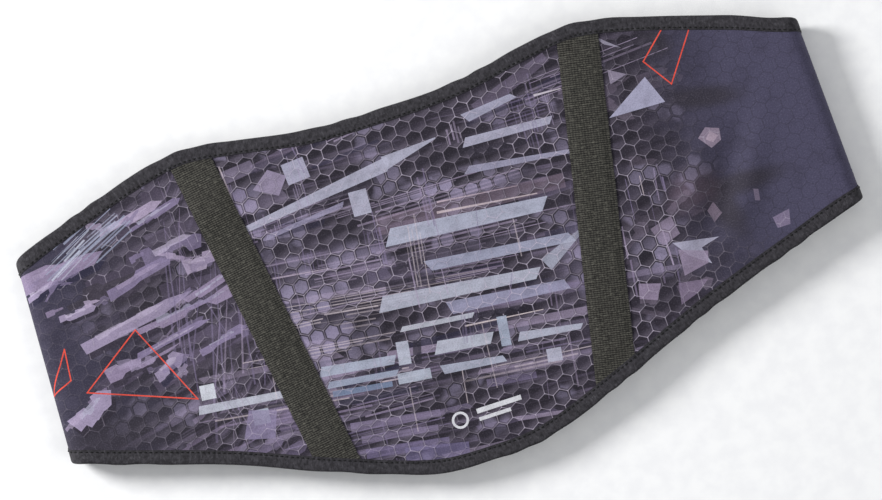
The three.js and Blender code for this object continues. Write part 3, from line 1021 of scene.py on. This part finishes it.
def webbing_material():
    """Ribs of threads across the band, with gaps between the threads along it. Single threads are
    lighter or darker."""
    graph = Graph("ribbed_webbing", roughness=0.82, sheen=0.08, specular=0.22)
    rib = graph.math("ABSOLUTE", graph.wave(graph.v, 2 * RIB_PITCH))
    thread = graph.wave(graph.plus(graph.u, graph.times(graph.noise(0.6, 2.0), 3.0)), THREAD_PITCH)
    weave = graph.times(rib, graph.plus(graph.times(thread, 0.27), 0.75))
    graph.base(graph.ramp(weave, 0.1, 0.85), "#0d0d0c", "#4d4b45")
    crosswise = graph.streaks(0.28, 0.95)
    graph.tint("#77756b", graph.ramp(crosswise, 0.53, 0.7, 0.0, 0.5))
    graph.tint("#0e0e0e", graph.ramp(crosswise, 0.48, 0.32, 0.0, 0.8))
    graph.tint("#12120f", graph.ramp(graph.streaks(0.8, 0.25, 7.0), 0.55, 0.75, 0.0, 0.6))
    graph.tint("#33322e", graph.ramp(graph.noise(0.09, 3.0), 0.35, 0.65, 0.0, 0.2))
    return graph.finish(weave, 0.7, 0.0003)


def thread_material():
    graph = Graph("stitching_thread", roughness=0.7, sheen=0.05, specular=0.3)
    ply = graph.wave(graph.plus(graph.u, graph.v), 0.35)
    graph.base(graph.ramp(ply, -1.0, 1.0), "#0a0a0c", "#151417")
    return graph.finish(ply, 0.4, 0.00008)


def stay_material():
    graph = Graph("stay_strip", roughness=0.5, specular=0.4)
    scuff = graph.noise(0.5, 4.0, 0.6)
    graph.base(graph.ramp(scuff, 0.35, 0.7), "#1a1a1c", "#2c2c2f")
    return graph.finish(scuff, 0.2, 0.0001)


def closure_material(name, scale, strength):
    """Loop pile, or rows of hooks where the scale is finer."""
    graph = Graph(name, roughness=0.95, sheen=0.15, specular=0.15)
    cells = graph.add("ShaderNodeTexVoronoi", {"Vector": graph.point, "Scale": scale})
    pile = graph.minus(graph.plus(graph.noise(0.8, 4.0, 0.7), 0.3), cells.outputs["Distance"])
    graph.base(graph.ramp(pile, 0.0, 0.7), "#101012", "#2b2b2e")
    return graph.finish(pile, strength, 0.0005)


def floor_material():
    graph = Graph("pale_floor", roughness=0.9, specular=0.1)
    speckle = graph.noise(90.0, 3.0, at=graph.add("ShaderNodeTexCoord").outputs["Object"])
    graph.base(graph.ramp(speckle, 0.3, 0.7), "#f4f4f5", "#fafafa")
    return graph.finish()


# ---- the print ----------------------------------------------------------------------------------

PRINT_SEED = 11
LILAC = ["#9a8aa8", "#a89ab8", "#897c9d", "#b4a4c0", "#7e7291"]
STEEL = ["#a8abc0", "#c0c4d5", "#989db5"]
DUSK = ["#494152", "#353039", "#2d2833", "#4e4558"]
SHADOW = ["#26243a", "#211d28", "#2a2530", "#332d3a"]
PALE = ["#b8abc4", "#c3b7d0", "#b2aec5", "#a798b5"]
ROSE = ["#7d7083", "#8a7c90"]
LINES = ["#d8c9d0", *LILAC]
RED = "#e6503c"
WHITE = "#dcdce2"

# Where the scattered shapes lie: u from, u to, v from, v to.
CENTRE, LOW_CENTRE, HIGH_CENTRE = (-112, 116, -104, 108), (-100, 92, -104, -20), (-108, 110, -48, 104)
LEFT_PART, LOW_LEFT, LEFT_SEAM = (-196, -116, -6, 98), (-170, -88, -72, 0), (-150, -96, -60, 90)
LEFT_CORNER = (-212, -176, 80, 98)
RIGHT_PART, RIGHT_SEAM = (98, 168, -62, 100), (100, 150, -66, 20)

# The splinters left of the left webbing: centre, length, width and direction in degrees.
SPLINTERS = [
    ((-216, 78), 48, 11, 6), ((-229, 69), 20, 7, 16), ((-165, 94), 42, 6, 12), ((-150, 92), 36, 5, 15),
    ((-146, 70), 38, 13, 7), ((-171, 59), 46, 8, 12), ((-187, 34), 64, 9, 10), ((-149, 32), 66, 8, 6),
    ((-186, 11), 42, 9, 8), ((-164, 17), 44, 6, 11), ((-222, -9), 26, 12, 30), ((-212, 50), 22, 5, 4),
    ((-132, 57), 20, 9, 2), ((-130, 41), 36, 5, 16), ((-170, 3), 18, 9, 20), ((-134, 8), 30, 6, 10),
]
# The large plain bars: start, stop, thickness, taper, slant, tone, cover.
MOTIF_BARS = [
    ((-22, 36), (74, 26.5), 10.5, 0.8, 5, "#b5b8cc", 0.85),
    ((0, 12), (88, 2), 6.5, 0.9, -4, "#a8aac2", 0.8),
    ((-38, -1), (58, -12), 9.5, 0.7, 4, "#b8bacb", 0.85),
    ((4, -16), (76, -24), 8.0, 0.75, -3, "#a2a1bd", 0.75),
    ((-30, -19), (14, -24), 3.0, 1.0, 2, "#c4c6d3", 0.8),
    ((66, -9), (92, 4), 9.0, 0.3, 0, "#b2b4c7", 0.7),
    ((-106, 66), (-8, 78), 3.5, 2.4, 6, "#b3b2c6", 0.85),
    ((-8, 79), (26, 84), 8.5, 0.1, 0, "#b3b2c6", 0.85),
    ((-90, 58), (-40, 63), 2.6, 1.2, 2, "#9c96b2", 0.7),
    ((40, 76), (94, 73), 5.6, 0.8, 3, "#b1afc4", 0.85),
    ((48, 90), (80, 94), 6.0, 0.6, -3, "#aaa9c0", 0.8),
    ((36, 60), (104, 51), 4.6, 0.5, 4, "#a29fb8", 0.8),
    ((-160, -28), (-106, -34.5), 5.2, 0.85, 1, "#c3c5d3", 0.88),
    ((-84, -28.5), (-39, -35), 6.0, 0.9, 2, "#aeb4c7", 0.86),
    ((-82, -37.5), (-40, -43), 4.0, 0.9, 2, "#9ca4b9", 0.86),
    ((-80, -43.5), (-44, -48.5), 3.6, 0.9, 0, "#7785a1", 0.86),
    ((-40, -47), (-20, -49.5), 6.4, 1.0, 0, "#b7bdcd", 0.86),
    ((-14, -36), (20, -40.5), 8.0, 0.85, 3, "#c0c3d2", 0.86),
    ((-12, -50), (26, -55), 5.5, 0.7, -2, "#b2b6c9", 0.85),
    ((36, -45), (74, -50.5), 5.5, 0.6, 2, "#b8bacc", 0.86),
]
# The plain blocks among them: centre, width, height, direction in degrees, tone, cover.
MOTIF_BLOCKS = [
    ((-60, 91), 14, 13, 4, "#adabc1", 0.85),
    ((-29, 61), 11, 15, -3, "#b3b2c6", 0.85),
    ((-151, -19), 9, 9, -6, "#d5d8e2", 0.88),
    ((-125, -43), 10, 9, -6, "#aeb3c3", 0.86),
    ((-32, -33), 7.5, 14, -8, "#bdc1d1", 0.88),
    ((29.5, -39), 6, 18, -7, "#a8b1c5", 0.86),
    ((54, -62), 9, 8, -8, "#b8b8cb", 0.86),
    ((-100, 20), 7, 4, -4, "#9a96b4", 0.7),
]
# Dark undersides that make the bars stand off the ground, then streaks of light, without slant.
UNDER_BARS = [
    ((-72, -41), (-36, -40.5), 3.5, 1.2, "#25243a", 0.9),
    ((-78, -50), (-30, -56), 4.0, 0.7, "#2b2a3a", 0.8),
    ((-26, -42), (-22, -28), 5.0, 1.0, "#2a2733", 0.85),
    ((-12, -43), (26, -47.5), 4.0, 0.8, "#25222e", 0.85),
    ((-150, -35), (-108, -40), 3.2, 0.9, "#2b2833", 0.8),
    ((-20, 20), (60, 11), 8.0, 0.8, "#2f2b37", 0.75),
    ((-30, 8), (0, 4), 7.0, 0.8, "#2f2b37", 0.7),
    ((-88, 63.5), (-20, 70.5), 2.6, 1.4, "#2c2834", 0.8),
    ((42, 69), (96, 64), 4.5, 0.8, "#2c2834", 0.75),
    ((13, 41), (74, 33.5), 1.5, 0.4, "#e3d3d6", 0.8),
    ((15, 47), (64, 41.5), 1.0, 0.4, "#cdb9c4", 0.7),
    ((8, -29), (56, -34), 1.0, 0.5, "#e3d3d6", 0.75),
    ((90, 90), (107, 89), 1.4, 0.3, "#d5ccd6", 0.8),
    ((-95, 34), (-58, 29), 1.1, 0.5, "#b9a9bd", 0.7),
    ((-112, 44), (96, 20), 0.7, 1.0, "#a293ac", 0.55),
    ((-120, 10), (-30, 3), 0.8, 1.0, "#a293ac", 0.55),
    ((54, 92), (104, 110), 9.0, 0.7, "#6e6379", 0.6),
    ((-24, 44), (92, 36), 11.0, 0.8, "#9a8597", 0.3),
    ((-76, -66), (-22, -74), 5.5, 0.8, "#8e81a0", 0.6),
    ((-72, -75), (-26, -82), 4.5, 0.8, "#8e81a0", 0.55),
    ((-72, -84), (-22, -92), 6.0, 0.9, "#8579a0", 0.5),
    ((-50, -93), (-12, -100), 11.0, 0.8, "#7a7199", 0.5),
    ((10, -66), (40, -70), 5.0, 0.8, "#7f7394", 0.5),
    ((110, -30), (150, -36), 4.0, 0.6, "#8a7e98", 0.5),
]
LIGHT_PATCHES = [
    ([(129, 63), (157, 80), (164, 62)], "#a7a5be", 0.95),
    ([(136, 82), (137, 91), (147, 85)], "#948a9f", 0.8),
    ([(134, 114), (149, 101), (140, 106)], "#9994a7", 0.8),
    ([(176, 35), (182, 40), (190, 37), (189, 30), (182, 27)], "#958598", 0.85),
    ([(180, 33), (184, 37), (188, 33), (184, 30)], "#b3a0b1", 0.8),
    ([(142, -20), (170, -25), (158, -28), (161, -39), (149, -30)], "#aca9be", 0.9),
    ([(144, -25), (161, -31), (159, -38), (143, -41)], "#9d8da6", 0.75),
    ([(115, -37), (128, -41), (123, -50), (113, -46)], "#9989a3", 0.8),
    ([(138, -44), (156, -47), (148, -53), (136, -57)], "#887892", 0.7),
    ([(168, -8), (173, -4), (176, -12), (170, -16)], "#948396", 0.6),
    ([(198, -4), (201, -5), (200, -12), (197, -11)], "#86788e", 0.6),
    ([(204, -24), (215, -22), (213, -31), (205, -31)], "#8e809c", 0.7),
    ([(-131, -37), (-115, -42), (-121, -58), (-139, -53)], "#8e83a4", 0.75),
    ([(-88, 88), (-76, 97), (-66, 90), (-74, 80)], "#a598b4", 0.7),
    ([(132, -8), (146, -4), (148, -16), (136, -20)], "#94859c", 0.6),
]
# Thin red outlines, as the corners of each line.
RED_OUTLINES = [
    [(-181, 30), (-220, 3), (-158, -21), (-181, 30)],
    [(-225, 32), (-241, 7), (-227, 13), (-225, 32)],
    [(184, 112), (159, 89), (171, 71), (196, 106)],
]
RED_WIDTH = 0.78
RING_CENTRE, RING_RADIUS, RING_WIDTH, RING_SIDES = np.array([-12, -82]), 5.2, 1.5, 20
EMBLEM_BARS = [((-1, -80), (27, -80), 3.0), ((-1, -85), (19, -85), 2.2)]


def heading(degrees):
    turn = math.radians(degrees)
    return np.array([math.cos(turn), math.sin(turn)])


def bar(start, stop, thickness, taper=1.0, slant=0.0):
    """A straight bar between two pattern points. taper is the far end's share of the thickness and
    slant moves the corners of one side along the bar."""
    a, b = np.array(start, float), np.array(stop, float)
    way = (b - a) / np.hypot(*(b - a))
    up = np.array([-way[1], way[0]]) * thickness / 2
    return [a - up, b - up * taper, b + up * taper + way * slant, a + up + way * slant]


def block(centre, width, height, degrees):
    way = heading(degrees) * width / 2
    return bar(centre - way, centre + way, height)


def shard(rng, centre, length, thickness, degrees):
    """A ragged splinter with stepped edges."""
    steps = rng.randint(2, 4)
    stretch = length / steps
    edges = []
    for side in (1, -1):
        points, x = [], -length / 2
        for _ in range(steps):
            height = side * thickness * rng.choice((0.16, 0.3, 0.5, 0.56))
            points.append((x + rng.uniform(0, 0.18) * stretch, height))
            points.append((x + rng.uniform(0.8, 0.98) * stretch, height * rng.uniform(0.8, 1.1)))
            x += stretch
        edges.append(points)
    tip = rng.uniform(0, 0.25) * length
    around = edges[0] + [(length / 2 + tip, 0.0)] + edges[1][::-1]
    return np.array(centre) + np.array(around) @ np.array([heading(degrees), heading(degrees + 90)])


def run_angle(u, v):
    """The print's own direction at a point, in degrees from the belt's length."""
    if u < -112:
        return 12.5
    if u > 150:
        return 6 - (u - 150) * 0.1
    return float(np.interp(v, [-90, -40, 20, 80, 110], [-5, -7.5, -6, 0, 8]))


def spots(rng, count, region, turn=0.0, jitter=0.0):
    """Points scattered over a region, each with a direction near the print's run."""
    for _ in range(count):
        spot = np.array([rng.uniform(*region[:2]), rng.uniform(*region[2:])])
        yield spot, run_angle(*spot) + rng.gauss(turn, jitter)


def spread(rng, count, region, lengths, widths, tones, covers, jitter=2.5, taper=(0.3, 1.2), slant=4):
    """Bars along the print's run."""
    for spot, angle in spots(rng, count, region, 0, jitter):
        way = heading(angle) * rng.uniform(*lengths) / 2
        width, far_share = rng.uniform(*widths), rng.uniform(*taper)
        shape = bar(spot - way, spot + way, width, far_share, rng.uniform(-slant, slant))
        yield shape, rng.choice(tones), rng.uniform(*covers)


def uprights(rng, count, region, lengths, widths, tones, covers):
    """Thin lines that stand across the print's run."""
    for spot, angle in spots(rng, count, region, 90, 6):
        way = heading(angle) * rng.uniform(*lengths) / 2
        shape = bar(spot - way, spot + way, rng.uniform(*widths))
        yield shape, rng.choice(tones), rng.uniform(*covers)


def bundles(rng, count, region, lengths, turn, tones, covers):
    """Bundles of fine parallel lines, turned from the print's run by an angle in degrees."""
    for spot, angle in spots(rng, count, region, turn, 1.5):
        way, up = heading(angle), heading(angle + 90)
        half = rng.uniform(*lengths) / 2
        tone = rng.choice(tones)
        offset = 0.0
        for _ in range(rng.randint(3, 7)):
            middle = spot + up * offset + way * rng.uniform(-0.5, 0.5) * half
            reach = way * half * rng.uniform(0.4, 1.0)
            width = rng.uniform(0.3, 1.3)
            yield bar(middle - reach, middle + reach, width), tone, rng.uniform(*covers)
            offset += width + rng.uniform(0.5, 2.2)


def shards(rng, count, region, lengths, widths, tones, covers, jitter=5):
    """Ragged splinters along the print's run."""
    for spot, angle in spots(rng, count, region, 0, jitter):
        shape = shard(rng, spot, rng.uniform(*lengths), rng.uniform(*widths), angle)
        yield shape, rng.choice(tones), rng.uniform(*covers)


def splinters(rng):
    """Pale splinters, each on its own dark shadow, with a lighter strip and two chips beside it."""
    for (u, v), length, width, angle in SPLINTERS:
        body = shard(rng, (u, v), length, width, angle)
        strip = shard(rng, (u, v + 0.15 * width), 0.6 * length, 0.4 * width, angle)
        yield body + (1.5, -0.4 * width), rng.choice(SHADOW), 0.85
        yield body, rng.choice(LILAC), rng.uniform(0.72, 0.88)
        yield strip, rng.choice(PALE), rng.uniform(0.4, 0.7)
        for _ in range(2):
            spot = (u + rng.uniform(-0.6, 0.6) * length, v + rng.uniform(-1.2, 1.2) * width)
            chip = shard(rng, spot, rng.uniform(8, 18), rng.uniform(3, 6), angle + rng.gauss(0, 12))
            yield chip, rng.choice(LILAC), rng.uniform(0.4, 0.7)


def fan(rng, count):
    """Thin light lines that spread upwards beside the left webbing."""
    for _ in range(count):
        foot = np.array([rng.uniform(-166, -112), rng.uniform(-56, 20)])
        head = foot + (rng.uniform(6, 26), rng.uniform(36, 90))
        shape = bar(foot, head, rng.uniform(0.5, 1.6), 0.4)
        yield shape, rng.choice(LILAC), rng.uniform(0.25, 0.5)


def red_lines():
    """The red outlines, one bar for each side."""
    for corners in RED_OUTLINES:
        for a, b in zip(np.array(corners, float), np.array(corners[1:], float)):
            way = (b - a) / np.hypot(*(b - a)) * RED_WIDTH / 2
            yield bar(a - way, b + way, RED_WIDTH), RED, 1.0


def emblem():
    """A plain ring and two bars near the lower edge, in white."""
    ring = []
    inner, outer = RING_RADIUS - RING_WIDTH, RING_RADIUS
    for k in range(RING_SIDES):
        a, b = (heading(360 * t / RING_SIDES) for t in (k, k + 1))
        ring.append([RING_CENTRE + way for way in (inner * a, outer * a, outer * b, inner * b)])
    for shape in ring + [bar(*row) for row in EMBLEM_BARS]:
        yield shape, WHITE, 1.0


def print_shapes():
    """Everything printed on the shell but its ground and net, from the lowest to the topmost."""
    rng = random.Random(PRINT_SEED)
    shapes = [*spread(rng, 26, CENTRE, (26, 90), (3, 10), LILAC, (0.12, 0.34))]
    shapes += spread(rng, 54, CENTRE, (18, 60), (1.5, 8), SHADOW, (0.35, 0.8))
    shapes += spread(rng, 16, LOW_CENTRE, (14, 60), (1.5, 5), LILAC, (0.25, 0.5))
    shapes += shards(rng, 26, LEFT_PART, (24, 60), (8, 18), DUSK, (0.4, 0.8))
    shapes += splinters(rng)
    shapes += shards(rng, 14, LOW_LEFT, (14, 44), (4, 11), LILAC[:3], (0.2, 0.42))
    shapes += fan(rng, 22)
    shapes += shards(rng, 16, RIGHT_PART, (8, 26), (4, 9), ROSE, (0.1, 0.4), 25)
    shapes += spread(rng, 20, RIGHT_PART, (10, 40), (1, 5), SHADOW, (0.05, 0.25), 9, (0.2, 1.0), 6)
    shapes += bundles(rng, 30, CENTRE, (26, 100), 0, LINES, (0.2, 0.6))
    shapes += [(bar(*row), tone, cover) for *row, tone, cover in UNDER_BARS + MOTIF_BARS]
    shapes += [(block(*row), tone, cover) for *row, tone, cover in MOTIF_BLOCKS]
    shapes += bundles(rng, 18, HIGH_CENTRE, (14, 54), 88, LINES, (0.2, 0.55))
    shapes += uprights(rng, 24, CENTRE, (8, 40), (0.35, 1.0), LINES, (0.25, 0.65))
    shapes += uprights(rng, 16, LEFT_SEAM, (20, 60), (0.3, 0.8), LILAC, (0.2, 0.4))
    shapes += uprights(rng, 14, RIGHT_SEAM, (8, 30), (0.4, 1.2), LINES, (0.3, 0.7))
    shapes += bundles(rng, 4, LEFT_CORNER, (30, 60), 13, STEEL, (0.4, 0.85))
    return [*shapes, *LIGHT_PATCHES, *red_lines(), *emblem()]


# ---- the pieces of the belt ---------------------------------------------------------------------

BACK_Q = -20.0  # where the back gives way to a fold
TAB_SEAM_Q = TAB_HINGE_Q - 44
CUTS = {
    "left_end": LEFT_END_U,
    "left_fold": fold_cut(LEFT, ARC_MIDDLE),
    "left_back": fold_cut(LEFT, BACK_Q),
    "left_webbing": webbing_cut("left"),
    "right_webbing": webbing_cut("right"),
    "right_back": fold_cut(RIGHT, BACK_Q),
    "right_fold": fold_cut(RIGHT, ARC_MIDDLE),
    "tab_seam": fold_cut(RIGHT, TAB_SEAM_Q),
    "right_end": RIGHT_END_U,
}
# The stretches of the belt, each between two cuts.
STRETCHES = {
    "left_wing": ("left_end", "left_fold"),
    "left_fold": ("left_fold", "left_back"),
    "back": ("left_back", "right_back"),
    "right_fold": ("right_back", "right_fold"),
    "right_wing": ("right_fold", "tab_seam"),
    "tab": ("tab_seam", "right_end"),
}
# Panels of each layer: the stretch that they lie on, their two cuts and the nodes they replace.
PANELS = {
    "lining": {name: (name, cuts, [name]) for name, cuts in STRETCHES.items()},
    "shell": {
        "left_wing": ("left_wing", STRETCHES["left_wing"], ["left_wing"]),
        "left": ("left_fold", ("left_fold", "left_webbing"), ["left", "left_fold"]),
        "centre": ("back", ("left_webbing", "right_webbing"), ["centre"]),
        "right": ("right_fold", ("right_webbing", "right_fold"), ["right", "right_fold"]),
        "right_wing": ("right_wing", STRETCHES["right_wing"], ["right_wing"]),
        "tab": ("tab", STRETCHES["tab"], ["tab"]),
    },
}


def tab_point(across):
    """A point of the row frame in metres, across from the tab's hinge towards its end."""
    x, y, z = JOINTS["tab_peel"]["pos_m"]
    return (x - across * RIGHT.out[0] * MM, y - across * RIGHT.out[1] * MM, z)


def follow(piece, stretch):
    """Makes a piece of the back move with the back's body; any other piece only has its place baked into
    its mesh.
    """
    if stretch == "back":
        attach(piece, "back")
    elif stretch == "tab":
        tab_point(TAB_BEND[0])
        tab_point(TAB_BEND[1])
        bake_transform(piece)
    else:
        side = LEFT if stretch.startswith("left") else RIGHT
        fold, wing = f"{side.name}_fold", f"{side.name}_wing"
        arc_middle = side.hinge_point(HINGE_DEPTH, HINGE_DEPTH - FOLD_RADIUS)
        if stretch == fold:
            side.hinge_point(ARC_START, HINGE_DEPTH)
            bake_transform(piece)
        else:
            arc_bottom = side.hinge_point(ARC_START, HINGE_DEPTH - 2 * FOLD_RADIUS)
            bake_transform(piece)


def dress(piece, material, slot, *nodes):
    """Gives a piece its material and hides the CAD nodes that it stands for. slot is not used."""
    piece.data.materials.append(material)
    if nodes:
        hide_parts(*nodes)


def make_panels(layer, w_range, material, shapes):
    for panel, (stretch, (start, stop), nodes) in PANELS[layer].items():
        boundary = outline(CUTS[start], CUTS[stop])
        piece = sheet_piece(f"{layer}_panel_{panel}", boundary, w_range, shapes)
        dress(piece, material, layer, *(f"{layer}_{node}" for node in nodes))
        follow(piece, stretch)
        declare(boundary)


def tape_paths(stretch):
    """Names, nodes and paths of a stretch's binding: one along each edge, or one round an end."""
    start, stop = (CUTS[name] for name in STRETCHES[stretch])
    if stretch in ("left_wing", "tab"):
        free_end, cut = (start, stop) if stretch == "left_wing" else (stop, start)
        first, last = (BOTTOM, TOP) if stretch == "left_wing" else (TOP, BOTTOM)
        path = edge_path(first, cut, free_end)[:-1]
        path += end_path(free_end, first, TAPE_STEPS[0]) + edge_path(last, free_end, cut)[1:]
        return [(f"end_{stretch.split('_')[0]}", stretch, path)]
    return [
        (f"tape_{edge}_{stretch}", f"{edge}_{stretch}", edge_path(direction, start, stop))
        for edge, direction in (("top", TOP), ("bottom", BOTTOM))
    ]


def make_bindings(tape, thread):
    for stretch in STRETCHES:
        for name, node, path in tape_paths(stretch):
            piece = tape_piece(f"binding_{name}", path)
            dress(piece, tape, "binding", f"binding_{node}")
            follow(piece, stretch)
            seam = stitches_piece(f"stitches_{name}", stitch_row(path))
            dress(seam, thread, "binding")
            follow(seam, stretch)


def make_webbings(material, stay_finish):
    for name, line in WEBBINGS.items():
        webbing = strip_piece(
            f"webbing_band_{name}", line, WEBBING_WIDTH, WEBBING_INSET, webbing_base, webbing_top,
            edge_wave=SELVEDGE_WAVE,
        )
        dress(webbing, material, "webbing", f"webbing_{name}")
        follow(webbing, "back")
        stay = strip_piece(
            f"stay_strip_{name}", line, STAY_WIDTH, STAY_INSET, stay_base, stay_top,
            step=3.0, columns=12,
        )
        dress(stay, stay_finish, "stay", f"stay_{name}")
        follow(stay, "back")


def make_closures(thread):
    loop, loop_seam = closure_pieces("loop_pile_patch", LOOP_PATCH, 1)
    dress(loop, closure_material("loop_pile", 1.1, 0.8), "loop", "loop_patch")
    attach(loop, "left_wing")
    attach(loop_seam, "left_wing")
    hook, hook_seam = closure_pieces("hook_strip", HOOK_TAPE, -1)
    dress(hook, closure_material("hook_rows", 0.75, 1.0), "hook", "hook_tape")
    follow(hook, "tab")
    follow(hook_seam, "tab")
    for seam in (loop_seam, hook_seam):
        dress(seam, thread, "binding")


# ---- floor, light and camera --------------------------------------------------------------------

VIEW_WIDTH = 0.5292
VIEW_CENTRE = (-0.0002, 0.0123)
VIEW_TURN = math.radians(-18)
LENS, SENSOR = 180.0, 36.0


def area_light(name, location, size, power):
    data = bpy.data.lights.new(name, "AREA")
    data.shape = "DISK"
    data.size = size
    data.energy = power
    light = bpy.data.objects.new(name, data)
    bpy.context.scene.collection.objects.link(light)
    light.location = location
    light.rotation_euler = (-Vector(location)).to_track_quat("-Z", "Y").to_euler()


def make_stage():
    bpy.ops.mesh.primitive_plane_add(size=8, location=(0, 0, 0))
    floor = bpy.context.object
    floor.name = "floor"
    floor.data.materials.append(floor_material())
    world = bpy.data.worlds.new("studio")
    world.use_nodes = True
    world.node_tree.nodes["Background"].inputs["Color"].default_value = (0.95, 0.97, 1.0, 1)
    world.node_tree.nodes["Background"].inputs["Strength"].default_value = 0.42
    bpy.context.scene.world = world
    area_light("key", (-1.7, 1.3, 1.15), 0.8, 70)
    area_light("fill", (1.4, -0.9, 1.6), 1.4, 10)
    bpy.context.scene.view_settings.view_transform = "Standard"


def make_camera():
    data = bpy.data.cameras.new("camera")
    data.lens = LENS
    data.sensor_width = SENSOR
    data.clip_end = 20
    camera = bpy.data.objects.new("camera", data)
    bpy.context.scene.collection.objects.link(camera)
    distance = VIEW_WIDTH * LENS / SENSOR
    camera.location = (*VIEW_CENTRE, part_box("webbing_left")[1].z + distance)
    camera.rotation_euler = (0, 0, VIEW_TURN)
    bpy.context.scene.camera = camera


make_camera()
make_stage()
thread_finish = thread_material()
make_panels("shell", SHELL_W, shell_material(), print_shapes())
make_panels("lining", LINING_W, lining_material(), [])
make_bindings(binding_material(), thread_finish)
make_webbings(webbing_material(), stay_material())
make_closures(thread_finish)
